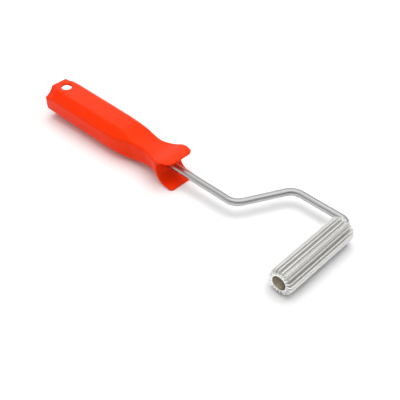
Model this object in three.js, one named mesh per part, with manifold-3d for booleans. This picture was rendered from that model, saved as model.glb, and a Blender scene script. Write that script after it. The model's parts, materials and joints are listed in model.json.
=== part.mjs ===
// A hand laminating roller: a moulded plastic handle, a bent steel wire frame and a lengthwise-finned
// aluminium roller that turns on the frame's axle. Millimetres, +Z up, lying on the floor at z = 0.
//
// Everything is drawn in one tool frame: u runs from the handle to the roller (the handle is on the
// negative side), v is across the tool along the axle, and w is normal to the plane of the wire. The
// frame's origin is on the axle, in line with the handle. Only the last lines tip the tool on to the
// floor.

import * as THREE from "three";
import { mergeVertices } from "three/addons/utils/BufferGeometryUtils.js";
import Module from "manifold-3d";

const wasm = await Module();
wasm.setup();

// ---- driving dimensions -------------------------------------------------------------------------

const CLEARANCE = 0.3; // gap kept between any two pieces that fit together

const ROLLER_RADIUS = 10.5;
const ROLLER_LENGTH = 75;
const ROLLER_MIDDLE = -1.3; // along the axle: the roller sits a little towards its open end
const ROLLER_TUBE_RADIUS = 6.5; // the fins stand on this tube
const ROLLER_BORE_RADIUS = 5.7;
const FIN_COUNT = 20;
const FIN_TIP_THICKNESS = 0.85;
const FIN_ROOT_THICKNESS = 1.15;
const FIN_END_ROUNDING = 2.6; // the fins' outer corners at both ends of the roller
const FIRST_FIN_ANGLE = THREE.MathUtils.degToRad(11);
const FIN_TIP_TRIM = 0.04; // the bar that trims the fins' ends stands this far off their tips

const WIRE_RADIUS = 3;
const AXLE_BEND_RADIUS = 7; // to the wire's centre line
const CRANK_BEND_RADIUS = 12;
const OFFSET = 44; // across the tool, from the handle's centre line to the long straight of the wire
const CRANK_START = -74.2; // where the straight out of the handle would meet the slanted run
const CRANK_END = -51; // where the slanted run would meet the long straight
const WIRE_END = -215; // blind end of the wire, inside the handle
const WIRE_FLAT = { length: 14, halfWidth: 4.1, halfThickness: 2.1 }; // flattened so it can't turn
const AXLE_END = -27; // the axle stops short of the roller's open end
const AXLE_CHAMFER = 0.8;

const BUSH_LENGTH = 10;
const OUTBOARD_BUSH_START = -22;
const WASHER_RADIUS = 5.2;
const WASHER_THICKNESS = 0.8;
const EAR = { start: 33, length: 2.6, reach: 4.4, halfThickness: 1.1 }; // swaged stop on the axle
const RING = { outerRadius: 4.9, thickness: 0.8, grooveRadius: 2.5, toothRoot: 3.5, teeth: 8 };

const HANDLE_REAR = -284;
const SOCKET = { depth: 58, width: 12.6, height: 12.1, bevel: 8.2, draft: 0.6 }; // half sizes at the mouth
const HANG_HOLE = { radius: 4.7, fromRear: 11.2 };
const SCOOP = { radius: 15, across: 21.6, above: 19.6, straight: 2.2, endRadius: 7.4 };
const CORNER_ROUNDING = 1.2; // softening of the eight long edges of the grip
const MOST_OF_SIDE = 1 / 3; // share of an octagon's side that one corner's rounding may take
const TALL_ENOUGH = 20; // more than the handle's greatest half height
const OVERLAP = 1; // how far a cutter reaches past the faces that it opens

const UPPER_JAW = { front: -130.5, halfWidthAtFront: 13.3, ear: -143.5, earHalfWidth: 16.4, corner: 4.6 };
const LOWER_JAW = { front: -127.8, halfWidth: 14.4, corner: 4, flare: 0.037 };
const MOUTH = { root: -144, radius: 9, archCentre: 2.1, floorCentre: -1.2, floorAtLip: -11.1 };

// Cross-sections of the handle, from its rear end to the jaws: half the width above and below, the
// height above and below the centre plane, and the 45 degree bevel on each of the four long corners.
const HANDLE_STATIONS = [
  { u: HANDLE_REAR, widthAbove: 16.4, widthBelow: 15.9, top: 13.8, bottom: 13.5, bevel: 7 },
  { u: -207, widthAbove: 16.1, widthBelow: 15.9, top: 13.5, bottom: 13.5, bevel: 7 },
  { u: -192, widthAbove: 15, widthBelow: 15, top: 13.2, bottom: 13, bevel: 6.4 },
  { u: -184, widthAbove: 13.2, widthBelow: 12.8, top: 11.7, bottom: 11.6, bevel: 3.7 },
  { u: -176, widthAbove: 11.4, widthBelow: 10.5, top: 9.6, bottom: 9.6, bevel: 1 },
  { u: -163, widthAbove: 10.2, widthBelow: 9.6, top: 8.6, bottom: 7.4, bevel: 1 },
  { u: -155, widthAbove: 12, widthBelow: 10.2, top: 8.7, bottom: 6.6, bevel: 1 },
  { u: -149, widthAbove: 14.4, widthBelow: 11.1, top: 9.4, bottom: 8, bevel: 1 },
  { u: -143.5, widthAbove: 16.4, widthBelow: 12.8, top: 10.8, bottom: 10.4, bevel: 0.8 },
  { u: -138, widthAbove: 16.6, widthBelow: 13.4, top: 11.8, bottom: 12.6, bevel: 0.8 },
  { u: -126, widthAbove: 16.6, widthBelow: 14.2, top: 12.4, bottom: 12.8, bevel: 0.8 },
];

// How finely round shapes are divided: points on a whole turn, or on one curve of an outline.
const SEGMENTS = {
  wire: 24,
  hole: 40,
  ring: 40,
  wireHole: 32,
  scoop: 72,
  curve: 12,
  arc: 8,
  finEnd: 3,
  corner: 2,
};
const GRIP_RINGS = 30; // cross-sections between the grip's straight part and the jaws
const BEND_STEP = 0.16; // radians between cross-sections of the wire in a bend
const WELD_DISTANCE = 1e-4; // vertices closer than this are one

// ---- materials ----------------------------------------------------------------------------------

function finish(name, color, metalness, roughness) {
  return new THREE.MeshStandardMaterial({ name, color, metalness, roughness });
}

const plastic = finish("orange_plastic", 0xf0391a, 0, 0.45);
const steel = finish("bright_steel", 0xb9bbbd, 1, 0.3);
const aluminium = finish("aluminium", 0xd4d3cf, 1, 0.35);
const nylon = finish("white_nylon", 0xe4e1d6, 0, 0.55);

// ---- helpers ------------------------------------------------------------------------------------

// Smooth curve through (u, value) pairs that never overshoots them.
function monotoneCurve(us, values) {
  const slopes = us.slice(1).map((u, i) => (values[i + 1] - values[i]) / (u - us[i]));
  const tangents = us.map((_, i) => {
    if (i === 0 || i === us.length - 1) return 0;
    const [before, after] = [slopes[i - 1], slopes[i]];
    return before * after <= 0 ? 0 : (2 * before * after) / (before + after);
  });
  return (u) => {
    const i = us.slice(1, -1).filter((place) => place <= u).length;
    const span = us[i + 1] - us[i];
    const t = (u - us[i]) / span;
    const [t2, t3] = [t * t, t * t * t];
    return (
      (2 * t3 - 3 * t2 + 1) * values[i] +
      (t3 - 2 * t2 + t) * span * tangents[i] +
      (3 * t2 - 2 * t3) * values[i + 1] +
      (t3 - t2) * span * tangents[i + 1]
    );
  };
}

// Closed skin over a row of convex rings with equal point counts, capped at both ends.
function skin(rings) {
  const count = rings[0].length;
  const index = [];
  for (let ring = 0; ring < rings.length - 1; ring++) {
    for (let i = 0; i < count; i++) {
      const a = ring * count + i;
      const b = ring * count + ((i + 1) % count);
      index.push(a, b, a + count, b, b + count, a + count);
    }
  }
  const last = (rings.length - 1) * count;
  for (let i = 1; i < count - 1; i++) {
    index.push(0, i + 1, i);
    index.push(last, last + i, last + i + 1);
  }
  const geometry = new THREE.BufferGeometry().setFromPoints(rings.flat());
  geometry.setIndex(index);
  return geometry;
}

// Bare, welded geometry: one vertex per place, which is what a closed solid needs.
function welded(geometry) {
  const bare = geometry.clone();
  for (const name of Object.keys(bare.attributes)) {
    if (name !== "position") bare.deleteAttribute(name);
  }
  return mergeVertices(bare, WELD_DISTANCE);
}

function toSolid(geometry) {
  const closed = welded(geometry);
  return new wasm.Manifold(
    new wasm.Mesh({
      numProp: 3,
      vertProperties: new Float32Array(closed.attributes.position.array),
      triVerts: new Uint32Array(closed.index.array),
    }),
  );
}

function toGeometry(solid) {
  const mesh = solid.getMesh();
  const geometry = new THREE.BufferGeometry();
  geometry.setAttribute("position", new THREE.BufferAttribute(new Float32Array(mesh.vertProperties), 3));
  geometry.setIndex(new THREE.BufferAttribute(new Uint32Array(mesh.triVerts), 1));
  return geometry;
}

function piece(name, geometry, material) {
  geometry.computeVertexNormals();
  const mesh = new THREE.Mesh(geometry, material);
  mesh.name = name;
  return mesh;
}

// Prism of a profile drawn in (u, w), centred across the tool.
function acrossTool(profile, width) {
  const settings = { depth: width, bevelEnabled: false, curveSegments: SEGMENTS.curve };
  return new THREE.ExtrudeGeometry(profile, settings)
    .rotateX(Math.PI / 2)
    .translate(0, width / 2, 0);
}

// Prism of an outline drawn in (u, v), from one height to another.
function throughHeight(outline, from, to) {
  const settings = { depth: to - from, bevelEnabled: false, curveSegments: SEGMENTS.arc };
  return new THREE.ExtrudeGeometry(outline, settings).translate(0, 0, from);
}

function cylinderAlongTool(radius, from, to) {
  return new THREE.CylinderGeometry(radius, radius, to - from, SEGMENTS.wireHole)
    .rotateZ(-Math.PI / 2)
    .translate((from + to) / 2, 0, 0);
}

// Plain turned ring on the axle.
function turnedRing(innerRadius, outerRadius, from, to) {
  const outline = [
    [innerRadius, from],
    [outerRadius, from],
    [outerRadius, to],
    [innerRadius, to],
    [innerRadius, from],
  ];
  const points = outline.map(([radius, v]) => new THREE.Vector2(radius, v));
  return welded(new THREE.LatheGeometry(points, SEGMENTS.ring));
}

// ---- handle -------------------------------------------------------------------------------------

const stationPlaces = HANDLE_STATIONS.map((station) => station.u);
const handleCurve = Object.fromEntries(
  ["widthAbove", "widthBelow", "top", "bottom", "bevel"].map((key) => [
    key,
    monotoneCurve(stationPlaces, HANDLE_STATIONS.map((station) => station[key])),
  ]),
);

// Octagon across the tool at u, every corner softened by a short arc.
function octagonRing(u, { widthAbove, widthBelow, top, bottom, bevel }) {
  const corners = [
    [widthAbove, top - bevel],
    [widthAbove - bevel, top],
    [bevel - widthAbove, top],
    [-widthAbove, top - bevel],
    [-widthBelow, bevel - bottom],
    [bevel - widthBelow, -bottom],
    [widthBelow - bevel, -bottom],
    [widthBelow, bevel - bottom],
  ].map(([v, w]) => new THREE.Vector2(v, w));
  return corners.flatMap((corner, i) => {
    const before = corners.at(i - 1);
    const after = corners[(i + 1) % corners.length];
    const shorterSide = Math.min(corner.distanceTo(before), corner.distanceTo(after));
    const reach = Math.min(CORNER_ROUNDING, shorterSide * MOST_OF_SIDE);
    const start = corner.clone().add(before.clone().sub(corner).setLength(reach));
    const end = corner.clone().add(after.clone().sub(corner).setLength(reach));
    return new THREE.QuadraticBezierCurve(start, corner, end)
      .getPoints(SEGMENTS.corner)
      .map((point) => new THREE.Vector3(u, point.x, point.y));
  });
}

function handleRing(u) {
  const sizes = Object.entries(handleCurve).map(([key, curve]) => [key, curve(u)]);
  return octagonRing(u, Object.fromEntries(sizes));
}

function handleBlank() {
  const [rear, gripEnd] = stationPlaces;
  const front = stationPlaces.at(-1);
  const places = [rear];
  for (let ring = 0; ring <= GRIP_RINGS; ring++) {
    places.push(gripEnd + ((front - gripEnd) * ring) / GRIP_RINGS);
  }
  return skin(places.map(handleRing));
}

// Seen from above, the upper jaw spreads into two ears and narrows again to its lip.
function upperJawOutline() {
  const { front, halfWidthAtFront, ear, earHalfWidth, corner } = UPPER_JAW;
  const side = new THREE.Vector2(ear, earHalfWidth);
  const tip = new THREE.Vector2(front, halfWidthAtFront);
  const beforeTip = tip.clone().add(side.clone().sub(tip).setLength(corner));
  const behind = HANDLE_REAR - OVERLAP;
  const outline = new THREE.Shape();
  outline.moveTo(behind, -earHalfWidth);
  outline.lineTo(side.x, -side.y);
  outline.lineTo(beforeTip.x, -beforeTip.y);
  outline.quadraticCurveTo(tip.x, -tip.y, tip.x, corner - tip.y);
  outline.lineTo(tip.x, tip.y - corner);
  outline.quadraticCurveTo(tip.x, tip.y, beforeTip.x, beforeTip.y);
  outline.lineTo(side.x, side.y);
  outline.lineTo(behind, earHalfWidth);
  return outline;
}

// The lower jaw has rounder corners, and its sides flare a little towards the wider grip.
function lowerJawOutline() {
  const { front, halfWidth, corner, flare } = LOWER_JAW;
  const behind = HANDLE_REAR - OVERLAP;
  const rearHalfWidth = halfWidth + flare * (front - behind);
  const outline = new THREE.Shape();
  outline.moveTo(behind, -rearHalfWidth);
  outline.lineTo(front - corner, -halfWidth);
  outline.absarc(front - corner, corner - halfWidth, corner, -Math.PI / 2, 0);
  outline.absarc(front - corner, halfWidth - corner, corner, 0, Math.PI / 2);
  outline.lineTo(behind, rearHalfWidth);
  return outline;
}

// Side view of the open mouth between the jaws: an arch above, a round-backed floor below.
function mouthProfile() {
  const { root, radius, archCentre, floorCentre, floorAtLip } = MOUTH;
  const throat = root + radius;
  const beyond = LOWER_JAW.front + OVERLAP;
  const archStart = Math.acos((beyond - throat) / radius);
  const profile = new THREE.Shape();
  profile.absarc(throat, archCentre, radius, archStart, Math.PI);
  profile.absarc(throat, floorCentre, radius, Math.PI, (3 * Math.PI) / 2);
  profile.lineTo(beyond, floorAtLip);
  return profile;
}

// Cavity that opens at the rear end. Its broad bevels leave a wall behind the scoops.
function poleSocket() {
  const { depth, width, height, bevel, draft } = SOCKET;
  const ring = (u, inset) => {
    const [side, cap] = [width - inset, height - inset];
    return octagonRing(u, { widthAbove: side, widthBelow: side, top: cap, bottom: cap, bevel });
  };
  return skin([ring(HANDLE_REAR - OVERLAP, 0), ring(HANDLE_REAR + depth, draft)]);
}

// Shallow hollow in one upper bevel, running from the rear end to a rounded stop.
function scoop(side) {
  const { radius, across, above, straight, endRadius } = SCOOP;
  const outline = new THREE.Path();
  outline.moveTo(0, -OVERLAP);
  outline.lineTo(radius, -OVERLAP);
  outline.lineTo(radius, straight);
  outline.absarc(radius - endRadius, straight, endRadius, 0, Math.PI / 2);
  outline.lineTo(0, straight + endRadius);
  return new THREE.LatheGeometry(outline.getPoints(SEGMENTS.arc), SEGMENTS.scoop)
    .rotateZ(-Math.PI / 2)
    .translate(HANDLE_REAR, side * across, above);
}

function handle() {
  const jawTrim = toSolid(throughHeight(upperJawOutline(), -OVERLAP, TALL_ENOUGH)).add(
    toSolid(throughHeight(lowerJawOutline(), -TALL_ENOUGH, OVERLAP)),
  );
  const blank = toSolid(handleBlank()).intersect(jawTrim);
  const wireHole = cylinderAlongTool(WIRE_RADIUS + CLEARANCE, WIRE_END - CLEARANCE, MOUTH.root + OVERLAP);
  const flatPocket = new THREE.BoxGeometry(
    WIRE_FLAT.length + 2 * CLEARANCE,
    2 * (WIRE_FLAT.halfWidth + CLEARANCE),
    2 * (WIRE_FLAT.halfThickness + CLEARANCE),
  ).translate(WIRE_END + WIRE_FLAT.length / 2, 0, 0);
  const { radius, fromRear } = HANG_HOLE;
  const hangHole = new THREE.CylinderGeometry(radius, radius, 2 * TALL_ENOUGH, SEGMENTS.hole)
    .rotateX(Math.PI / 2)
    .translate(HANDLE_REAR + fromRear, 0, 0);
  const cutters = [
    acrossTool(mouthProfile(), 2 * TALL_ENOUGH),
    poleSocket(),
    wireHole,
    flatPocket,
    hangHole,
    scoop(1),
    scoop(-1),
  ];
  return toGeometry(cutters.reduce((solid, cutter) => solid.subtract(toSolid(cutter)), blank));
}

// ---- places along the axle ---------------------------------------------------------------------

// The stack on the axle, worked from the swaged ears at the inboard end to the ring near its tip.
const inboardWasherTo = EAR.start - CLEARANCE;
const inboardBushTo = inboardWasherTo - WASHER_THICKNESS - CLEARANCE;
const outboardWasherTo = OUTBOARD_BUSH_START - CLEARANCE;
const ringTo = outboardWasherTo - WASHER_THICKNESS - CLEARANCE;
const ringFrom = ringTo - RING.thickness;
const grooveFrom = ringFrom - CLEARANCE;
const grooveTo = ringTo + CLEARANCE;

// ---- wire frame ---------------------------------------------------------------------------------

const NORMAL = new THREE.Vector3(0, 0, 1); // to the plane that the wire is bent in

// Centre line in the (u, v) plane as straight runs joined by arcs, given by its corners.
function roundedRoute(corners) {
  const route = [corners[0].point];
  for (let i = 1; i < corners.length - 1; i++) {
    const { point, radius } = corners[i];
    const back = corners[i - 1].point.clone().sub(point).normalize();
    const ahead = corners[i + 1].point.clone().sub(point).normalize();
    const turn = Math.PI - back.angleTo(ahead);
    const setback = radius * Math.tan(turn / 2);
    const toCentre = back.clone().add(ahead).setLength(radius / Math.cos(turn / 2));
    const centre = point.clone().add(toCentre);
    const from = point.clone().addScaledVector(back, setback).sub(centre);
    const sense = Math.sign(back.y * ahead.x - back.x * ahead.y);
    const arcSteps = Math.ceil(turn / BEND_STEP);
    for (let step = 0; step <= arcSteps; step++) {
      const angle = (sense * turn * step) / arcSteps;
      route.push(from.clone().applyAxisAngle(NORMAL, angle).add(centre));
    }
  }
  route.push(corners.at(-1).point);
  return route;
}

// Round wire along a flat route.
function wireAlong(route, radius) {
  const rings = route.map((point, i) => {
    const next = route[Math.min(i + 1, route.length - 1)];
    const previous = route[Math.max(i - 1, 0)];
    const across = new THREE.Vector3().crossVectors(NORMAL, next.clone().sub(previous).normalize());
    return Array.from({ length: SEGMENTS.wire }, (_, side) => {
      const angle = (2 * Math.PI * side) / SEGMENTS.wire;
      return point
        .clone()
        .addScaledVector(across, radius * Math.cos(angle))
        .addScaledVector(NORMAL, radius * Math.sin(angle));
    });
  });
  return skin(rings);
}

function wireFrame() {
  const corner = (u, v, radius = 0) => ({ point: new THREE.Vector3(u, v, 0), radius });
  const bar = wireAlong(
    roundedRoute([
      corner(WIRE_END, 0),
      corner(CRANK_START, 0, CRANK_BEND_RADIUS),
      corner(CRANK_END, OFFSET, CRANK_BEND_RADIUS),
      corner(0, OFFSET, AXLE_BEND_RADIUS),
      corner(0, AXLE_END + AXLE_CHAMFER),
    ]),
    WIRE_RADIUS,
  );
  const tipSizes = [WIRE_RADIUS, WIRE_RADIUS - AXLE_CHAMFER, 2 * AXLE_CHAMFER, SEGMENTS.wire];
  const chamferedTip = new THREE.CylinderGeometry(...tipSizes).translate(0, AXLE_END + AXLE_CHAMFER, 0);
  const flat = new THREE.BoxGeometry(WIRE_FLAT.length, 2 * WIRE_FLAT.halfWidth, 2 * WIRE_FLAT.halfThickness)
    .translate(WIRE_END + WIRE_FLAT.length / 2, 0, 0);
  const ears = new THREE.BoxGeometry(2 * EAR.reach, EAR.length, 2 * EAR.halfThickness)
    .translate(0, EAR.start + EAR.length / 2, 0);
  const ringGroove = turnedRing(RING.grooveRadius, WIRE_RADIUS + OVERLAP, grooveFrom, grooveTo);
  const solid = [chamferedTip, flat, ears].reduce((sum, part) => sum.add(toSolid(part)), toSolid(bar));
  return toGeometry(solid.subtract(toSolid(ringGroove)));
}

// ---- roller and the small parts on the axle --------------------------------------------------------

function finnedRoller() {
  const outline = new THREE.Shape();
  const pitch = (2 * Math.PI) / FIN_COUNT;
  const tipHalfAngle = FIN_TIP_THICKNESS / 2 / ROLLER_RADIUS;
  const rootHalfAngle = FIN_ROOT_THICKNESS / 2 / ROLLER_TUBE_RADIUS;
  const at = (radius, angle) => new THREE.Vector2(radius * Math.cos(angle), radius * Math.sin(angle));
  const points = [];
  for (let fin = 0; fin < FIN_COUNT; fin++) {
    const middle = FIRST_FIN_ANGLE + fin * pitch;
    points.push(at(ROLLER_TUBE_RADIUS, middle - rootHalfAngle));
    points.push(at(ROLLER_RADIUS, middle - tipHalfAngle));
    points.push(at(ROLLER_RADIUS, middle + tipHalfAngle));
    points.push(at(ROLLER_TUBE_RADIUS, middle + rootHalfAngle));
    points.push(at(ROLLER_TUBE_RADIUS, middle + pitch / 2));
  }
  outline.setFromPoints(points);
  outline.holes.push(new THREE.Path().absarc(0, 0, ROLLER_BORE_RADIUS, 0, 2 * Math.PI, true));
  const roller = toSolid(acrossTool(outline, ROLLER_LENGTH)).intersect(toSolid(roundEndedBar()));
  return toGeometry(roller).translate(0, ROLLER_MIDDLE, 0);
}

// Round-rimmed bar that trims the fins' ends. It has two facets per fin, with an edge on every fin's
// middle, and stands just clear of the fins' tips.
function roundEndedBar() {
  const round = FIN_END_ROUNDING;
  const halfLength = ROLLER_LENGTH / 2;
  const radius = ROLLER_RADIUS + FIN_TIP_TRIM;
  const outline = new THREE.Path();
  outline.moveTo(0, -halfLength);
  outline.lineTo(radius - round, -halfLength);
  outline.absarc(radius - round, round - halfLength, round, -Math.PI / 2, 0);
  outline.absarc(radius - round, halfLength - round, round, 0, Math.PI / 2);
  outline.lineTo(0, halfLength);
  const turnToFirstFin = Math.PI / 2 - FIRST_FIN_ANGLE;
  return new THREE.LatheGeometry(outline.getPoints(SEGMENTS.finEnd), 2 * FIN_COUNT).rotateY(turnToFirstFin);
}

// Lock ring with inner teeth that sit in the axle's groove.
function retainingRing() {
  const toothTip = RING.grooveRadius + CLEARANCE;
  const steps = 4 * RING.teeth;
  const hole = new THREE.Path();
  hole.setFromPoints(
    Array.from({ length: steps }, (_, step) => {
      const radius = step % 4 < 2 ? toothTip : RING.toothRoot;
      const angle = (-2 * Math.PI * step) / steps;
      return new THREE.Vector2(radius * Math.cos(angle), radius * Math.sin(angle));
    }),
  );
  const outline = new THREE.Shape().absarc(0, 0, RING.outerRadius, 0, 2 * Math.PI);
  outline.holes.push(hole);
  return welded(acrossTool(outline, RING.thickness).translate(0, (ringFrom + ringTo) / 2, 0));
}

function bush(from) {
  return turnedRing(WIRE_RADIUS + CLEARANCE, ROLLER_BORE_RADIUS - CLEARANCE, from, from + BUSH_LENGTH);
}

function washer(to) {
  return turnedRing(WIRE_RADIUS + CLEARANCE, WASHER_RADIUS, to - WASHER_THICKNESS, to);
}

// ---- assembly -----------------------------------------------------------------------------------

const tool = new THREE.Group();
tool.name = "tool";
tool.add(
  piece("handle_grip", handle(), plastic),
  piece("wire_frame", wireFrame(), steel),
  piece("finned_roller", finnedRoller(), aluminium),
  piece("inboard_bush", bush(inboardBushTo - BUSH_LENGTH), nylon),
  piece("outboard_bush", bush(OUTBOARD_BUSH_START), nylon),
  piece("inboard_washer", washer(inboardWasherTo), steel),
  piece("outboard_washer", washer(outboardWasherTo), steel),
  piece("retaining_ring", retainingRing(), steel),
);

// The tool lies on its roller and on the lip of its lower jaw, which sits a little lower in the tool
// frame than the roller does, so the handle rises slightly towards its rear end.
const lipDepth = HANDLE_STATIONS.at(-1).bottom;
tool.rotation.y = Math.asin((lipDepth - ROLLER_RADIUS) / -LOWER_JAW.front);
tool.position.z = ROLLER_RADIUS;

// The model's origin is the middle of its footprint, on the floor.
const footprint = new THREE.Box3().setFromObject(tool, true);
const centre = footprint.getCenter(new THREE.Vector3());
const laminatingRoller = new THREE.Group();
laminatingRoller.name = "laminating_roller";
laminatingRoller.add(tool);
laminatingRoller.position.set(-centre.x, -centre.y, -footprint.min.z);

export default laminatingRoller;
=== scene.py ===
"""Looks for the laminating roller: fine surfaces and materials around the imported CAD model.

Every piece is drawn in the tool frame, in millimetres: u runs from the handle to the roller, v is
across the tool along the axle, w is normal to the plane of the wire, and the origin is on the axle in
line with the handle. tool_to_row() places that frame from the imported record, so a piece lands where
its CAD node is.
"""

import functools
import itertools
import json
import math

import bmesh
import bpy
import numpy as np
from mathutils import Matrix, Vector


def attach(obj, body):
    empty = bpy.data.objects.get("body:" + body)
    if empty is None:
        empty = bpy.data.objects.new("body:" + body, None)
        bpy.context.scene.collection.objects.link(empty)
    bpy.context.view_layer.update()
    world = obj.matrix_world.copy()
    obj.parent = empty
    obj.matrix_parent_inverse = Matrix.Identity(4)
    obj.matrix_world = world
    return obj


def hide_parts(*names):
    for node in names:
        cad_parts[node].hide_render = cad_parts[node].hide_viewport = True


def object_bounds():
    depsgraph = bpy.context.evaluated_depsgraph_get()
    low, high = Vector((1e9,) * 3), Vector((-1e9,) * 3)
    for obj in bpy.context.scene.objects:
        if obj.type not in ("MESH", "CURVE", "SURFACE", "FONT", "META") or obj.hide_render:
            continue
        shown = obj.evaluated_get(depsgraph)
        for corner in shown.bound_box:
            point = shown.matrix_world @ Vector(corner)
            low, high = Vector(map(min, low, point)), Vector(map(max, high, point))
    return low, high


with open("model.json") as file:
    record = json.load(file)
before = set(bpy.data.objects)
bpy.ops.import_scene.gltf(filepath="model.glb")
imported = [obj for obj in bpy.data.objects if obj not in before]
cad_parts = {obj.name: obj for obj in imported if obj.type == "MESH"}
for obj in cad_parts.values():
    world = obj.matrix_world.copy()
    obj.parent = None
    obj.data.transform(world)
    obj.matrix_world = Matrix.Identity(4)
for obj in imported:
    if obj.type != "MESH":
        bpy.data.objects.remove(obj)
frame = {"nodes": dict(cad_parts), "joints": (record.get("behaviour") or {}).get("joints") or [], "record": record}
cad_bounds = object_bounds()

# ---- sizes in millimetres ------------------------------------------------------------------------

MILLIMETRE = 0.001
CLEARANCE = 0.3

ROLLER_ROUNDING = 2.6  # the fins' outer corners at both ends of the roller
FIN_COUNT = 20
FIN_TIP_THICKNESS = 0.85
FIN_ROOT_THICKNESS = 1.15
FIN_EDGE_ROUNDING = 0.18
FIN_ROOT_FILLET = 0.28
FIRST_FIN_ANGLE = math.radians(11)
TUBE_RADIUS = 6.5
BORE_CHAMFER = 0.25

WIRE_RADIUS = 3.0
AXLE_BEND_RADIUS = 7.0
CRANK_BEND_RADIUS = 12.0
OFFSET = 44.0
CRANK_START = -74.2
CRANK_END = -51.0
WIRE_END = -215.0
WIRE_FLAT = {"length": 14.0, "half_width": 4.1, "half_thickness": 2.1, "run_out": 4.0}
AXLE_END = -27.0
AXLE_CHAMFER = 0.8
EAR = {"start": 33.0, "length": 2.6, "reach": 4.4, "half_angle": math.radians(13), "run_out": 0.8}
GROOVE_RADIUS = 2.5
RING_TEETH = {"count": 8, "tip": GROOVE_RADIUS + CLEARANCE, "root": 3.5, "rounding": 0.12}

HANDLE_REAR = -284.0
SOCKET = {"depth": 58.0, "width": 12.6, "height": 12.1, "bevel": 8.2, "draft": 0.6, "rounding": 0.8}
HANG_HOLE = {"radius": 4.7, "from_rear": 11.2}
SCOOP = {"radius": 15.0, "across": 21.6, "above": 19.6, "straight": 2.2, "end_radius": 7.4, "rim": 0.7}
UPPER_JAW = {
    "front": -130.5,
    "half_width_at_front": 13.3,
    "ear": -143.5,
    "ear_half_width": 16.4,
    "corner": 4.2,
}
LOWER_JAW = {"front": -127.8, "half_width": 14.4, "corner": 4.0, "flare": 0.037}
MOUTH = {
    "root": -144.0,
    "radius": 9.0,
    "arch_centre": 2.1,
    "floor_centre": -1.2,
    "floor_at_lip": -11.1,
    "rim": 0.9,
}
LONG_EDGE_ROUNDING = 1.0
RIM_ROUNDING = 0.5

# Cross-sections of the handle, from its rear end to the jaws: half the width above and below, the
# height above and below the centre plane, and the 45 degree bevel on each of the four long corners.
STATION_KEYS = ("u", "width_above", "width_below", "top", "bottom", "bevel")
HANDLE_STATIONS = (
    (HANDLE_REAR, 16.4, 15.9, 13.8, 13.5, 7.0),
    (-207.0, 16.1, 15.9, 13.5, 13.5, 7.0),
    (-192.0, 15.0, 15.0, 13.2, 13.0, 6.4),
    (-184.0, 13.2, 12.8, 11.7, 11.6, 3.7),
    (-176.0, 11.4, 10.5, 9.6, 9.6, 1.0),
    (-163.0, 10.2, 9.6, 8.6, 7.4, 1.0),
    (-155.0, 12.0, 10.2, 8.7, 6.6, 1.0),
    (-149.0, 14.4, 11.1, 9.4, 8.0, 1.0),
    (-143.5, 16.4, 12.8, 10.8, 10.4, 0.8),
    (-138.0, 16.6, 13.4, 11.8, 12.6, 0.8),
    (-126.0, 16.6, 14.2, 12.4, 12.8, 0.8),
)

# ---- how finely shapes are divided ---------------------------------------------------------------

FIELD_STEP = 0.52  # size of a cell in the handle's grid
FIELD_MARGIN = 1.13  # empty space round the handle in that grid, uneven so that no flat lies on a layer
WIRE_SIDES = 48
WIRE_RINGS = {"on_flat": 9, "round_ear": 15, "past_ear": 1.0, "spacing": 6.0}
RADIUS_STEP_LENGTH = 1e-4  # length of wire that a sudden step in its radius takes
FIN_FLANK_POINTS = 5
FIN_END_POINTS = 9
ROLLER_MIDDLE_RINGS = 6
TURNED_SECTIONS = 96
SECTIONS_A_TOOTH = 12
SAME_LENGTH = 1e-6  # lengths closer than this are equal

HANDLE_SHARP_ANGLE = math.radians(60)
WIRE_SHARP_ANGLE = math.radians(35)
TURNED_SHARP_ANGLE = math.radians(50)

# ---- from the tool frame to the row frame --------------------------------------------------------


def tool_to_row():
    """Matrix from tool millimetres to row metres, from the roller's hinge and the handle's rear face."""
    hinge = frame["joints"][0]
    rim = next(mount for mount in frame["record"]["mounts"] if mount["name"] == "pole_socket_rim")
    along = -Vector(rim["axis"]).normalized()
    across = Vector(hinge["axis"])
    up = along.cross(across)
    matrix = Matrix((along, across, up)).transposed().to_4x4()
    matrix.translation = Vector(hinge["pos_m"])
    return matrix @ Matrix.Scale(MILLIMETRE, 4)


TOOL = tool_to_row()


def reach(node):
    """Where a CAD node on the axle starts and ends along it, and its least and greatest radius."""
    vertices = frame["nodes"][node].data.vertices
    points = np.array([TOOL.inverted() @ vertex.co for vertex in vertices])
    along, radii = points[:, 1], np.hypot(points[:, 0], points[:, 2])
    return {"start": along.min(), "end": along.max(), "inner": radii.min(), "outer": radii.max()}


# ---- making pieces -------------------------------------------------------------------------------


def make_piece(name, node, body, slot, vertices, faces, sharp_angle):
    """A smooth-shaded mesh from tool millimetres, which replaces a CAD node and rides on its body."""
    mesh = bpy.data.meshes.new(name)
    mesh.from_pydata([tuple(vertex) for vertex in vertices], [], [tuple(map(int, face)) for face in faces])
    mesh.transform(TOOL)
    outward = bmesh.new()
    outward.from_mesh(mesh)
    bmesh.ops.recalc_face_normals(outward, faces=outward.faces)
    outward.to_mesh(mesh)
    outward.free()
    mesh.shade_smooth()
    mesh.set_sharp_from_angle(angle=sharp_angle)
    piece = bpy.data.objects.new(name, mesh)
    bpy.context.scene.collection.objects.link(piece)
    mesh.materials.append(MATERIALS[slot])
    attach(piece, body)
    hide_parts(node)
    return piece


def whole_turn(count):
    """Equally spaced angles round a whole turn."""
    return np.linspace(0, 2 * math.pi, count + 1)[:-1]


def ring_of_sections(sections):
    """Vertices and quads of a ring about the axle: sections[angle][place] = (angle, radius, v)."""
    sections = np.array(sections)
    turns, places = sections.shape[:2]
    angle, radius, v = sections.reshape(-1, 3).T
    vertices = np.stack([radius * np.cos(angle), v, radius * np.sin(angle)], axis=1)
    number = np.arange(turns * places).reshape(turns, places)
    beside = np.roll(number, -1, axis=1)
    corners = [number, beside, np.roll(beside, -1, axis=0), np.roll(number, -1, axis=0)]
    return vertices, np.stack(corners, axis=-1).reshape(-1, 4)


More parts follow.
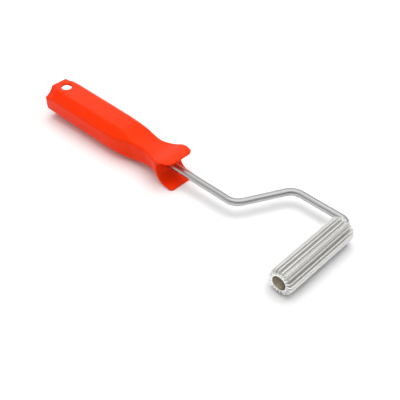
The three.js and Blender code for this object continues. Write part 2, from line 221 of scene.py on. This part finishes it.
def rounded_section(inner, outer, start, end, rounding, steps=3):
    """Loop of (radius, v) round a rectangle with rounded corners."""
    loop = []
    corners = ((outer, end, 0), (inner, end, 1), (inner, start, 2), (outer, start, 3))
    for radius, v, quarter in corners:
        centre_radius = radius - rounding if radius == outer else radius + rounding
        centre_v = v - rounding if v == end else v + rounding
        for step in range(steps + 1):
            angle = math.pi / 2 * (quarter + step / steps)
            loop.append((centre_radius + rounding * math.cos(angle), centre_v + rounding * math.sin(angle)))
    return loop


# ---- handle: a distance field that is negative inside, and the surface where it is zero ----------


def round_max(a, b, rounding):
    """The larger of two fields, with the edge where they meet rounded off."""
    flat = np.minimum(np.maximum(a, b), -rounding)
    return flat + np.hypot(np.maximum(a + rounding, 0), np.maximum(b + rounding, 0))


def cut(solid, cutter, rounding=RIM_ROUNDING):
    """The solid without the cutter, with the rim rounded off."""
    return round_max(solid, -cutter, rounding)


def monotone_curve(places, values):
    """Smooth curve through the values at those places that never overshoots them."""
    places, values = np.array(places), np.array(values)
    slopes = np.diff(values) / np.diff(places)
    tangents = np.zeros(len(values))
    for i, (before, after) in enumerate(itertools.pairwise(slopes), start=1):
        if before * after > 0:
            tangents[i] = 2 * before * after / (before + after)

    def curve(u):
        i = np.clip(np.searchsorted(places, u, side="right") - 1, 0, len(places) - 2)
        span = places[i + 1] - places[i]
        t = np.clip((u - places[i]) / span, 0, 1)
        return (
            (2 * t**3 - 3 * t**2 + 1) * values[i]
            + (t**3 - 2 * t**2 + t) * span * tangents[i]
            + (3 * t**2 - 2 * t**3) * values[i + 1]
            + (t**3 - t**2) * span * tangents[i + 1]
        )

    return curve


def octagon(side, w, width_above, width_below, top, bottom, bevel, rounding):
    """Field of an octagon across the tool, where side is the distance from the centre plane."""
    rise = top + bottom - 2 * bevel
    lean = width_above - width_below
    flank = ((side - width_below) * rise - (w - bevel + bottom) * lean) / np.hypot(rise, lean)
    upper_bevel = (side - width_above + w - top + bevel) / math.sqrt(2)
    lower_bevel = (side - width_below - w - bottom + bevel) / math.sqrt(2)
    faces = (w - top, upper_bevel, flank, lower_bevel, -w - bottom)
    return functools.reduce(lambda a, b: round_max(a, b, rounding), faces)


def grip_blank(u, side, w):
    """The whole handle before anything is cut from it, closed at its rear end."""
    columns = dict(zip(STATION_KEYS, zip(*HANDLE_STATIONS)))
    places = columns.pop("u")
    sizes = {key: monotone_curve(places, values)(u) for key, values in columns.items()}
    section = octagon(side, w, rounding=LONG_EDGE_ROUNDING, **sizes)
    return round_max(section, HANDLE_REAR - u, RIM_ROUNDING)


def jaw_outlines(u, side, w):
    """Outlines of the jaws from above: the upper one spreads into ears, the lower one flares evenly."""
    taper = UPPER_JAW["ear_half_width"] - UPPER_JAW["half_width_at_front"]
    length = UPPER_JAW["front"] - UPPER_JAW["ear"]
    from_ear = (u - UPPER_JAW["ear"]) * taper + (side - UPPER_JAW["ear_half_width"]) * length
    upper = round_max(u - UPPER_JAW["front"], from_ear / math.hypot(taper, length), UPPER_JAW["corner"])
    lower_side = LOWER_JAW["half_width"] + LOWER_JAW["flare"] * (LOWER_JAW["front"] - u)
    lower = round_max(u - LOWER_JAW["front"], side - lower_side, LOWER_JAW["corner"])
    return np.where(w > 0, upper, lower)


def mouth(u, w):
    """Gap between the jaws, seen from the side: an arch above, a round-backed floor below."""
    throat = MOUTH["root"] + MOUTH["radius"]
    arch = np.hypot(u - throat, w - MOUTH["arch_centre"]) - MOUTH["radius"]
    above_floor = np.where(w > MOUTH["arch_centre"], arch, MOUTH["root"] - u)
    share = np.maximum(u - throat, 0) / (LOWER_JAW["front"] - throat)
    level = MOUTH["floor_centre"] - MOUTH["radius"]
    floor = level + share * (MOUTH["floor_at_lip"] - level)
    return round_max(above_floor, floor - w, MOUTH["radius"])


def pole_socket(u, side, w):
    """Eight-sided hollow for a pole, open at the rear end and slightly tapered."""
    narrowing = SOCKET["draft"] * (u - HANDLE_REAR) / SOCKET["depth"]
    width, height = SOCKET["width"] - narrowing, SOCKET["height"] - narrowing
    section = octagon(side, w, width, width, height, height, SOCKET["bevel"], SOCKET["rounding"])
    return round_max(section, u - HANDLE_REAR - SOCKET["depth"], SOCKET["rounding"])


def scoop(u, side, w):
    """Shallow hollow in each upper bevel, running from the rear end to a rounded stop."""
    barrel = np.hypot(side - SCOOP["across"], w - SCOOP["above"]) - SCOOP["radius"]
    stop = u - HANDLE_REAR - SCOOP["straight"] - SCOOP["end_radius"]
    return round_max(barrel, stop, SCOOP["end_radius"])


def wire_hole(u, side, w):
    """Round hole for the wire, and the flat pocket that its flattened end sits in."""
    blind_end = WIRE_END - CLEARANCE - u
    bore = np.maximum(np.hypot(side, w) - WIRE_RADIUS - CLEARANCE, blind_end)
    wide = side - WIRE_FLAT["half_width"] - CLEARANCE
    thick = np.abs(w) - WIRE_FLAT["half_thickness"] - CLEARANCE
    pocket_end = u - WIRE_END - WIRE_FLAT["length"] - CLEARANCE
    pocket = functools.reduce(np.maximum, (wide, thick, blind_end, pocket_end))
    return np.minimum(bore, pocket)


def handle_field(u, v, w):
    """The finished handle; both halves are alike, so most parts need only the distance to the side."""
    side = np.abs(v)
    hang_hole = np.hypot(u - HANDLE_REAR - HANG_HOLE["from_rear"], v) - HANG_HOLE["radius"]
    solid = round_max(grip_blank(u, side, w), jaw_outlines(u, side, w), RIM_ROUNDING)
    solid = cut(solid, mouth(u, w), MOUTH["rim"])
    solid = cut(solid, pole_socket(u, side, w))
    solid = cut(solid, scoop(u, side, w), SCOOP["rim"])
    solid = cut(solid, hang_hole)
    return cut(solid, wire_hole(u, side, w), CLEARANCE)


def zero_surface(field, corner, step):
    """Vertices and quads of the closed surface where a sampled field changes sign."""
    inside = field < 0
    cells = tuple(size - 1 for size in field.shape)
    offsets = list(itertools.product((0, 1), repeat=3))
    signs = [inside[x : x + cells[0], y : y + cells[1], z : z + cells[2]] for x, y, z in offsets]
    crossed = np.any(signs, axis=0) & ~np.all(signs, axis=0)
    number = np.full(cells, -1)
    number[crossed] = np.arange(crossed.sum())
    return cell_middles(field, np.argwhere(crossed), corner, step), quads_between(inside, number)


def cell_middles(field, cells, corner, step):
    """One vertex a cell: the mean of the places where the surface crosses the cell's edges."""
    total = np.zeros((len(cells), 3))
    crossings = np.zeros((len(cells), 1))
    for axis, edge in itertools.product(range(3), itertools.product((0, 1), repeat=2)):
        start, end = np.insert(edge, axis, 0), np.insert(edge, axis, 1)
        before, after = field[tuple((cells + start).T)], field[tuple((cells + end).T)]
        passes = ((before < 0) != (after < 0))[:, None]
        share = before / np.where(passes[:, 0], before - after, 1)
        total += np.where(passes, start + share[:, None] * (end - start), 0)
        crossings += passes
    return corner + step * (cells + total / crossings)


def quads_between(inside, number):
    """A quad round every grid edge that the surface crosses, joining the four cells beside it."""
    quads = []
    for axis in range(3):
        along, first, second = np.roll(np.eye(3, dtype=int), -axis, axis=0)
        ahead = np.roll(inside, -1, axis=axis)
        for outward in (True, False):
            crossed = np.argwhere((inside if outward else ~inside) & (~ahead if outward else ahead))
            around = [crossed - first - second, crossed - second, crossed, crossed - first]
            corners = [number[tuple(place.T)] for place in around]
            quads.append(np.stack(corners if outward else corners[::-1], axis=1))
    return np.concatenate(quads)


def make_handle():
    rear = dict(zip(STATION_KEYS, HANDLE_STATIONS[0]))
    half_width = UPPER_JAW["ear_half_width"]
    lowest = np.array([HANDLE_REAR, -half_width, -rear["bottom"]]) - FIELD_MARGIN
    highest = np.array([LOWER_JAW["front"], half_width, rear["top"]]) + FIELD_MARGIN
    axes = [np.arange(low, high + FIELD_STEP, FIELD_STEP) for low, high in zip(lowest, highest)]
    field = handle_field(*np.meshgrid(*axes, indexing="ij"))
    surface = zero_surface(field, lowest, FIELD_STEP)
    make_piece("moulded_handle", "handle_grip", "frame", "orange_plastic", *surface, HANDLE_SHARP_ANGLE)


# ---- wire frame ----------------------------------------------------------------------------------


def rounded_route(corners, step_angle=math.radians(4)):
    """Points (u, v) of straight runs joined by arcs; each corner is (u, v, radius)."""
    route = [Vector(corners[0][:2])]
    for before, (u, v, radius), after in zip(corners, corners[1:], corners[2:]):
        corner = Vector((u, v))
        back = (Vector(before[:2]) - corner).normalized()
        ahead = (Vector(after[:2]) - corner).normalized()
        turn = math.pi - back.angle(ahead)
        centre = corner + (back + ahead).normalized() * radius / math.cos(turn / 2)
        spoke = corner + back * radius * math.tan(turn / 2) - centre
        sense = -math.copysign(1, back.cross(ahead))
        steps = math.ceil(turn / step_angle)
        for step in range(steps + 1):
            route.append(centre + Matrix.Rotation(sense * turn * step / steps, 2) @ spoke)
    route.append(Vector(corners[-1][:2]))
    return np.array(route)


def wire_stations(route):
    """(distance along the wire, radius) of every ring, with two rings where the radius steps."""
    distance = np.concatenate([[0], np.cumsum(np.linalg.norm(np.diff(route, axis=0), axis=1))])
    axle_tip = distance[-1]

    def at_axle(v):
        return axle_tip - (v - AXLE_END)

    ring = reach("retaining_ring")
    groove_start, groove_end = at_axle(ring["end"] + CLEARANCE), at_axle(ring["start"] - CLEARANCE)
    ear_start = EAR["start"] - WIRE_RINGS["past_ear"]
    ear_end = EAR["start"] + EAR["length"] + WIRE_RINGS["past_ear"]
    ear_places = at_axle(np.linspace(ear_start, ear_end, WIRE_RINGS["round_ear"]))
    flat_places = np.linspace(0, WIRE_FLAT["length"], WIRE_RINGS["on_flat"])
    long_run_places = np.arange(2 * WIRE_FLAT["length"], groove_start, WIRE_RINGS["spacing"])
    plain = np.concatenate([distance[1:-1], flat_places, ear_places, long_run_places])
    stations = [(place, WIRE_RADIUS) for place in plain]
    stations += [(groove_start, WIRE_RADIUS), (groove_start + RADIUS_STEP_LENGTH, GROOVE_RADIUS)]
    stations += [(groove_end - RADIUS_STEP_LENGTH, GROOVE_RADIUS), (groove_end, WIRE_RADIUS)]
    stations += [(axle_tip - AXLE_CHAMFER, WIRE_RADIUS), (axle_tip, WIRE_RADIUS - AXLE_CHAMFER)]
    return distance, np.array(sorted(stations))


def smooth_step(x):
    """Eases from 0 to 1 as x goes from 0 to 1."""
    x = np.clip(x, 0, 1)
    return x * x * (3 - 2 * x)


def wire_half_sizes(distance, radius, angle, axle_tip):
    """Half sizes across the bend plane and normal to it, at an angle round the wire."""
    past_flat = distance - WIRE_FLAT["length"] + WIRE_FLAT["run_out"]
    flat = 1 - smooth_step(past_flat / WIRE_FLAT["run_out"])
    ear_middle = axle_tip - (EAR["start"] + EAR["length"] / 2 - AXLE_END)
    from_ear = np.abs(distance - ear_middle) - EAR["length"] / 2 + EAR["run_out"] / 2
    off_axis = np.arcsin(np.abs(np.sin(angle)))
    ear = (1 - smooth_step(from_ear / EAR["run_out"])) * np.exp(-((off_axis / EAR["half_angle"]) ** 2))
    across = radius + flat * (WIRE_FLAT["half_width"] - WIRE_RADIUS)
    normal = radius - flat * (WIRE_RADIUS - WIRE_FLAT["half_thickness"])
    swage = 1 + ear * (EAR["reach"] / WIRE_RADIUS - 1)
    return across * swage, normal * swage


def make_wire():
    route = rounded_route(
        (
            (WIRE_END, 0, 0),
            (CRANK_START, 0, CRANK_BEND_RADIUS),
            (CRANK_END, OFFSET, CRANK_BEND_RADIUS),
            (0, OFFSET, AXLE_BEND_RADIUS),
            (0, AXLE_END, 0),
        )
    )
    distance, stations = wire_stations(route)
    place, radius = stations.T
    centre = np.stack([np.interp(place, distance, route[:, axis]) for axis in range(2)], axis=1)
    nearby = 0.3  # the wire's direction is taken between two points this far before and after
    ahead = [np.interp(place + nearby, distance, route[:, axis]) for axis in range(2)]
    behind = [np.interp(place - nearby, distance, route[:, axis]) for axis in range(2)]
    direction = np.stack(ahead, axis=1) - np.stack(behind, axis=1)
    direction /= np.linalg.norm(direction, axis=1)[:, None]
    angle = np.arange(WIRE_SIDES) * 2 * math.pi / WIRE_SIDES - math.pi / 2
    across, normal = wire_half_sizes(place[:, None], radius[:, None], angle[None, :], distance[-1])
    outwards = across * np.cos(angle)
    u = centre[:, :1] - direction[:, 1:] * outwards
    v = centre[:, 1:] + direction[:, :1] * outwards
    vertices = np.stack([u, v, normal * np.sin(angle)], axis=-1).reshape(-1, 3)
    number = np.arange(len(vertices)).reshape(-1, WIRE_SIDES)
    beside = np.roll(number, -1, axis=1)
    quads = np.stack([number[:-1], beside[:-1], beside[1:], number[1:]], axis=-1).reshape(-1, 4)
    faces = [*quads.tolist(), number[0][::-1].tolist(), number[-1].tolist()]
    wire = make_piece(
        "bent_wire_frame", "wire_frame", "frame", "bright_steel", vertices, faces, WIRE_SHARP_ANGLE
    )
    turn = np.arange(WIRE_SIDES) / WIRE_SIDES
    map_along_wire(wire.data, np.repeat(place, WIRE_SIDES), np.tile(turn, len(place)))


def map_along_wire(mesh, place, turn):
    """UV map with the turn round the wire in x and the distance along it, in millimetres, in y."""
    near_seam = 0.1  # of a turn
    layer = mesh.uv_layers.new(name="along_wire")
    for face in mesh.polygons:
        wraps = max(turn[i] for i in face.vertices) > 1 - near_seam
        for loop in face.loop_indices:
            vertex = mesh.loops[loop].vertex_index
            x = turn[vertex] + (1 if wraps and turn[vertex] < near_seam else 0)
            layer.data[loop].uv = (x, place[vertex])


# ---- roller and the small parts on the axle ------------------------------------------------------


def half_fin(tip_radius):
    """(angle from the fin's middle, radius) from the middle of its tip to the middle of the groove."""

    def flank(radius):
        """Half of the fin's thickness at that radius."""
        share = (radius - TUBE_RADIUS) / (tip_radius - TUBE_RADIUS)
        return (FIN_ROOT_THICKNESS + share * (FIN_TIP_THICKNESS - FIN_ROOT_THICKNESS)) / 2

    edge, fillet = FIN_EDGE_ROUNDING, FIN_ROOT_FILLET
    diagonal = 1 - math.sqrt(0.5)
    points = [(0, tip_radius), (flank(tip_radius) - edge, tip_radius)]
    points.append((flank(tip_radius) - diagonal * edge, tip_radius - diagonal * edge))
    for radius in np.linspace(tip_radius - edge, TUBE_RADIUS + fillet, FIN_FLANK_POINTS):
        points.append((flank(radius), radius))
    points.append((flank(TUBE_RADIUS) + diagonal * fillet, TUBE_RADIUS + diagonal * fillet))
    points.append((flank(TUBE_RADIUS) + fillet, TUBE_RADIUS))
    half = [(math.asin(offset / radius), radius) for offset, radius in points]
    return [*half, (math.pi / FIN_COUNT, TUBE_RADIUS)]


def make_roller():
    """A section for each point of the fins' profile: along the outside, then back through the bore."""
    size = reach("finned_roller")
    middle = (size["start"] + size["end"]) / 2
    half_length = (size["end"] - size["start"]) / 2
    half = half_fin(size["outer"])
    one_fin = [(-angle, radius) for angle, radius in half[-1:0:-1]] + half[:-1]
    profile = [
        (FIRST_FIN_ANGLE + fin * 2 * math.pi / FIN_COUNT + angle, radius)
        for fin in range(FIN_COUNT)
        for angle, radius in one_fin
    ]
    arc = np.linspace(0, math.pi / 2, FIN_END_POINTS)
    end_v = half_length - ROLLER_ROUNDING * (1 - np.sin(arc))
    end_limit = size["outer"] - ROLLER_ROUNDING * (1 - np.cos(arc))
    middle_v = np.linspace(-end_v[0], end_v[0], ROLLER_MIDDLE_RINGS + 2)[1:-1]
    outer_v = np.concatenate([-end_v[::-1], middle_v, end_v])
    limit = np.concatenate([end_limit[::-1], np.full(len(middle_v), size["outer"]), end_limit])
    tube = rounded_section(size["inner"], TUBE_RADIUS, -half_length, half_length, BORE_CHAMFER)
    bore_edge = size["inner"] + BORE_CHAMFER + SAME_LENGTH
    bore = [(radius, v) for radius, v in tube if radius < bore_edge]
    sections = [
        [(angle, min(radius, most), middle + v) for v, most in zip(outer_v, limit)]
        + [(angle, bore_radius, middle + v) for bore_radius, v in bore]
        for angle, radius in profile
    ]
    surface = ring_of_sections(sections)
    make_piece("extruded_roller", "finned_roller", "roller", "aluminium", *surface, TURNED_SHARP_ANGLE)


def make_turned(name, node, body, slot, rounding):
    """A plain turned ring with softened edges, such as a bush or a washer."""
    size = reach(node)
    loop = rounded_section(size["inner"], size["outer"], size["start"], size["end"], rounding)
    sections = [[(angle, radius, v) for radius, v in loop] for angle in whole_turn(TURNED_SECTIONS)]
    make_piece(name, node, body, slot, *ring_of_sections(sections), TURNED_SHARP_ANGLE)


def make_retaining_ring():
    """Push-on ring whose inner teeth sit in the axle's groove; a tooth and a gap take one pitch."""
    size = reach("retaining_ring")
    pitch = 2 * math.pi / RING_TEETH["count"]
    tip, root = RING_TEETH["tip"], RING_TEETH["root"]
    quarters, inner_radii = np.arange(5) * pitch / 4, (tip, tip, root, root, tip)
    sections = []
    for angle in whole_turn(SECTIONS_A_TOOTH * RING_TEETH["count"]):
        inner = np.interp(-angle % pitch, quarters, inner_radii)
        loop = rounded_section(inner, size["outer"], size["start"], size["end"], RING_TEETH["rounding"])
        sections.append([(angle, radius, v) for radius, v in loop])
    surface = ring_of_sections(sections)
    make_piece("toothed_lock_ring", "retaining_ring", "frame", "bright_steel", *surface, TURNED_SHARP_ANGLE)


# ---- materials -----------------------------------------------------------------------------------


class Surface:
    """A Principled material and short ways to add the nodes that drive it."""

    def __init__(self, name, **constants):
        self.material = bpy.data.materials.new(name)
        self.material.use_nodes = True
        self.tree = self.material.node_tree
        self.shader = self.tree.nodes["Principled BSDF"]
        for socket, value in constants.items():
            self.shader.inputs[socket.replace("_", " ")].default_value = value

    def node(self, kind, inputs=(), **settings):
        made = self.tree.nodes.new(kind)
        for key, value in settings.items():
            setattr(made, key, value)
        for socket, value in dict(inputs).items():
            if isinstance(value, bpy.types.NodeSocket):
                self.tree.links.new(value, made.inputs[socket])
            else:
                made.inputs[socket].default_value = value
        return made

    def drive(self, socket, value):
        self.tree.links.new(value, self.shader.inputs[socket])

    def coordinates(self, source, scale):
        """Object or UV coordinates, stretched by scale, in cycles a metre or a UV unit."""
        given = self.node("ShaderNodeTexCoord").outputs[source]
        return self.node("ShaderNodeMapping", {"Vector": given, "Scale": scale}).outputs["Vector"]

    def noise(self, coordinates, detail=2.0, roughness=0.5):
        inputs = {"Vector": coordinates, "Scale": 1.0, "Detail": detail, "Roughness": roughness}
        return self.node("ShaderNodeTexNoise", inputs).outputs["Fac"]

    def between(self, factor, low, high, at=(0.3, 0.7)):
        """A number that goes from low to high as factor goes from at[0] to at[1]."""
        inputs = {"Value": factor, "From Min": at[0], "From Max": at[1], "To Min": low, "To Max": high}
        return self.node("ShaderNodeMapRange", inputs).outputs["Result"]

    def colour_between(self, factor, first, second):
        """A colour that goes from first to second; either is a colour or another node's output."""
        mix = self.node("ShaderNodeMix", {"Factor": factor}, data_type="RGBA")
        sockets = [socket for socket in mix.inputs if socket.type == "RGBA"]
        for socket, colour in zip(sockets, (first, second)):
            if isinstance(colour, bpy.types.NodeSocket):
                self.tree.links.new(colour, socket)
            else:
                socket.default_value = (*colour, 1)
        return next(socket for socket in mix.outputs if socket.type == "RGBA")

    def distance_from_axle(self):
        """Distance in metres from the axle, which runs along the row's Y axis."""
        given = self.node("ShaderNodeTexCoord").outputs["Object"]
        centre = tuple(TOOL.translation)
        offset = self.node("ShaderNodeVectorMath", {0: given, 1: centre}, operation="SUBTRACT")
        flat = self.node("ShaderNodeVectorMath", {0: offset.outputs[0], 1: (1, 0, 1)}, operation="MULTIPLY")
        length = self.node("ShaderNodeVectorMath", {0: flat.outputs[0]}, operation="LENGTH")
        return length.outputs["Value"]

    def bump(self, height, distance, strength=1.0):
        inputs = {"Height": height, "Distance": distance, "Strength": strength}
        self.drive("Normal", self.node("ShaderNodeBump", inputs).outputs["Normal"])


def orange_plastic():
    """Satin moulded plastic: a fine even grain, a slow drift in colour and a few duller patches."""
    surface = Surface("orange_plastic", IOR=1.46, Specular_IOR_Level=0.15, Specular_Tint=(1, 0.5, 0.25, 1))
    drift = surface.noise(surface.coordinates("Object", (30, 30, 30)), detail=3.0)
    surface.drive("Base Color", surface.colour_between(drift, (0.86, 0.028, 0.001), (0.90, 0.035, 0.002)))
    patches = surface.noise(surface.coordinates("Object", (160, 160, 160)), detail=4.0, roughness=0.6)
    surface.drive("Roughness", surface.between(patches, 0.36, 0.5))
    grain = surface.noise(surface.coordinates("Object", (2600, 2600, 2600)), detail=2.0)
    surface.bump(grain, 0.00003, 0.5)
    return surface.material


def bright_steel():
    """Drawn, bright zinc-plated wire: streaks that run along it."""
    surface = Surface("bright_steel", Metallic=1.0, Specular_Tint=(0.6, 0.6, 0.6, 1))
    streaks = surface.noise(surface.coordinates("UV", (26, 0.02, 1)), detail=3.0)
    surface.drive("Base Color", surface.colour_between(streaks, (0.45, 0.45, 0.448), (0.58, 0.58, 0.577)))
    surface.drive("Roughness", surface.between(streaks, 0.23, 0.36))
    surface.bump(streaks, 0.00004, 0.35)
    return surface.material


def aluminium():
    """Bare extruded aluminium: die lines along the axle, and a duller, warmer bore."""
    surface = Surface("aluminium", Metallic=1.0)
    lines = surface.noise(surface.coordinates("Object", (900, 8, 900)), detail=2.0)
    drawn = surface.colour_between(lines, (0.82, 0.817, 0.80), (0.89, 0.886, 0.872))
    bore_wall = (0.0058, 0.0062)  # metres from the axle, between the bore and the outside
    in_bore = surface.between(surface.distance_from_axle(), 1.0, 0.0, at=bore_wall)
    surface.drive("Base Color", surface.colour_between(in_bore, drawn, (0.90, 0.865, 0.77)))
    surface.drive("Roughness", surface.between(lines, 0.32, 0.42))
    surface.bump(lines, 0.00001, 0.25)
    return surface.material


def white_nylon():
    """Moulded nylon: slightly waxy, with a faint mottle."""
    surface = Surface("white_nylon", Subsurface_Weight=0.1, Subsurface_Scale=0.002)
    mottle = surface.noise(surface.coordinates("Object", (300, 300, 300)), detail=3.0)
    surface.drive("Base Color", surface.colour_between(mottle, (0.76, 0.74, 0.66), (0.84, 0.82, 0.75)))
    surface.drive("Roughness", surface.between(mottle, 0.45, 0.6))
    return surface.material


# ---- studio --------------------------------------------------------------------------------------

FLOOR_HALF_SIZE = 3.0


def make_camera():
    """Camera above and to the right of the roller, looking back along the handle."""
    azimuth, elevation = math.radians(43.52), math.radians(41.35)
    distance = 0.53507
    middle_from_roller = Vector((-0.09717, -0.0132, -0.0005))
    target = TOOL.translation + middle_from_roller
    back = Vector(
        (
            math.sin(azimuth) * math.cos(elevation),
            -math.cos(azimuth) * math.cos(elevation),
            math.sin(elevation),
        )
    )
    camera = bpy.data.objects.new("camera", bpy.data.cameras.new("camera"))
    camera.data.lens = 63
    camera.data.sensor_width = 36
    camera.data.clip_start = 0.01
    camera.location = target + back * distance
    camera.rotation_euler = (-back).to_track_quat("-Z", "Y").to_euler()
    bpy.context.scene.collection.objects.link(camera)
    bpy.context.scene.camera = camera


def add_stage(name, vertices, faces, surface):
    """A mesh that belongs to the studio and not to the object."""
    mesh = bpy.data.meshes.new(name)
    mesh.from_pydata(vertices, [], faces)
    mesh.materials.append(surface.material)
    made = bpy.data.objects.new(name, mesh)
    bpy.context.scene.collection.objects.link(made)
    return made


def make_floor():
    """Plain pale floor, under the lowest point of the part."""
    half, low = FLOOR_HALF_SIZE, cad_bounds[0].z
    corners = [(-half, -half, low), (half, -half, low), (half, half, low), (-half, half, low)]
    surface = Surface("floor", Specular_IOR_Level=0.0, Roughness=0.9, Base_Color=(0.86, 0.86, 0.86, 1))
    add_stage("floor", corners, [(0, 1, 2, 3)], surface)


def make_backdrop():
    """Pale wall round the floor. Only the camera sees it: it gives no light, shadow or reflection."""
    sides, low, high = 96, cad_bounds[0].z, FLOOR_HALF_SIZE
    turns = [side * 2 * math.pi / sides for side in range(sides)]
    ring = [(FLOOR_HALF_SIZE * math.cos(turn), FLOOR_HALF_SIZE * math.sin(turn)) for turn in turns]
    vertices = [(x, y, z) for z in (low, high) for x, y in ring]
    faces = [(i, (i + 1) % sides, (i + 1) % sides + sides, i + sides) for i in range(sides)]
    pale = {"Base_Color": (0, 0, 0, 1), "Emission_Color": (0.8, 0.8, 0.8, 1), "Emission_Strength": 1.0}
    wall = add_stage("backdrop", vertices, faces, Surface("backdrop", Specular_IOR_Level=0.0, **pale))
    wall.visible_diffuse = False
    wall.visible_glossy = False
    wall.visible_transmission = False
    wall.visible_shadow = False


def soft_box(name, place, size, power, mirrored):
    """Square area light that looks at the middle of the part; mirrored says if reflections show it."""
    light = bpy.data.objects.new(name, bpy.data.lights.new(name, "AREA"))
    light.data.shape = "SQUARE"
    light.data.size = size
    light.data.energy = power
    light.location = place
    light.visible_glossy = mirrored
    light.rotation_euler = (-Vector(place)).to_track_quat("-Z", "Y").to_euler()
    bpy.context.scene.collection.objects.link(light)


def make_world(horizon, overhead, full_at, front, front_dimming):
    """Pale room: dim at the horizon, evenly bright higher up, and darker towards the front."""
    world = bpy.data.worlds.new("room")
    bpy.context.scene.world = world
    world.use_nodes = True
    nodes, links = world.node_tree.nodes, world.node_tree.links

    def ramp(value, start, end, at_start, at_end):
        made = nodes.new("ShaderNodeMapRange")
        made.interpolation_type = "SMOOTHSTEP"
        links.new(value, made.inputs["Value"])
        numbers = {"From Min": start, "From Max": end, "To Min": at_start, "To Max": at_end}
        for socket, number in numbers.items():
            made.inputs[socket].default_value = number
        return made.outputs["Result"]

    def along(direction):
        made = nodes.new("ShaderNodeVectorMath")
        made.operation = "DOT_PRODUCT"
        links.new(nodes.new("ShaderNodeTexCoord").outputs["Generated"], made.inputs[0])
        made.inputs[1].default_value = direction
        return made.outputs["Value"]

    front_edge = 0.2  # cosine of the angle from the front where the dimming begins
    product = nodes.new("ShaderNodeMath")
    product.operation = "MULTIPLY"
    links.new(ramp(along((0, 0, 1)), 0, full_at, horizon, overhead), product.inputs[0])
    links.new(ramp(along(front), front_edge, 1, 1, 1 - front_dimming), product.inputs[1])
    links.new(product.outputs["Value"], nodes["Background"].inputs["Strength"])
    nodes["Background"].inputs["Color"].default_value = (1, 1, 1, 1)


def make_studio():
    make_floor()
    make_backdrop()
    make_world(horizon=0.1, overhead=0.75, full_at=0.4, front=(0.69, -0.72, 0.0), front_dimming=0.5)
    soft_box("key", (0.02, 0.22, 1.06), 0.9, 6.0, mirrored=False)
    soft_box("ceiling", (0.07, 0.1, 1.1), 1.5, 4.5, mirrored=True)
    soft_box("left_panel", (-0.85, 0.57, 0.36), 0.6, 1.2, mirrored=True)
    soft_box("near_fill", (-0.35, -1.1, 0.35), 0.8, 1.9, mirrored=False)
    bpy.context.scene.view_settings.view_transform = "Standard"


# ---- build ---------------------------------------------------------------------------------------


MATERIALS = {
    "orange_plastic": orange_plastic(),
    "bright_steel": bright_steel(),
    "aluminium": aluminium(),
    "white_nylon": white_nylon(),
}

make_camera()
make_handle()
make_wire()
make_roller()
make_turned("inboard_bearing_bush", "inboard_bush", "roller", "white_nylon", rounding=0.4)
make_turned("outboard_bearing_bush", "outboard_bush", "roller", "white_nylon", rounding=0.4)
make_turned("inboard_thrust_washer", "inboard_washer", "frame", "bright_steel", rounding=0.15)
make_turned("outboard_thrust_washer", "outboard_washer", "frame", "bright_steel", rounding=0.15)
make_retaining_ring()
make_studio()
